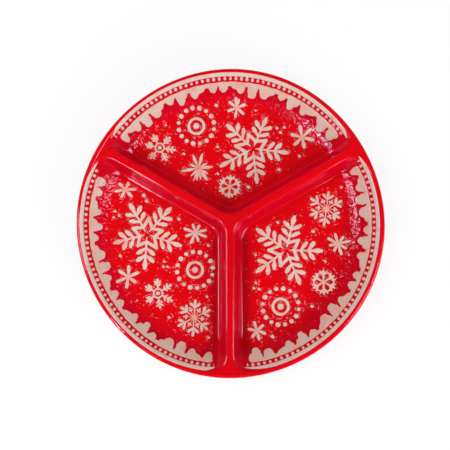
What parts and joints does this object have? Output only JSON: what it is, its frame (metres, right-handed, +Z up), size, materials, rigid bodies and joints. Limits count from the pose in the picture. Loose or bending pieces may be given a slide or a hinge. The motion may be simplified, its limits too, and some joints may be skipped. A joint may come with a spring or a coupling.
{
  "type": "divided serving dish",
  "caption": "Round shallow serving dish of glazed stoneware with a flared wall, a rounded rim, a foot ring and a raised divider that parts it into separate wells.",
  "frame": {"origin": "middle of the foot ring's resting face", "axes": "+Z up, +Y through the middle of the top well, -Y along the lower arm of the divider"},
  "size_m": [0.305, 0.305, 0.036],
  "materials": {
    "red_glaze": "gloss",
    "bare_clay": "matte"
  },
  "bodies": {
    "root": {"foot_ring": "bare_clay", "floor_top": "red_glaze", "floor_left": "red_glaze", "floor_right": "red_glaze", "divider_hub": "red_glaze", "divider_upper_left": "red_glaze", "divider_upper_right": "red_glaze", "divider_lower": "red_glaze", "outer_wall_top": "red_glaze", "outer_wall_left": "red_glaze", "outer_wall_right": "red_glaze", "rim": "red_glaze"}
  },
  "joints": []
}
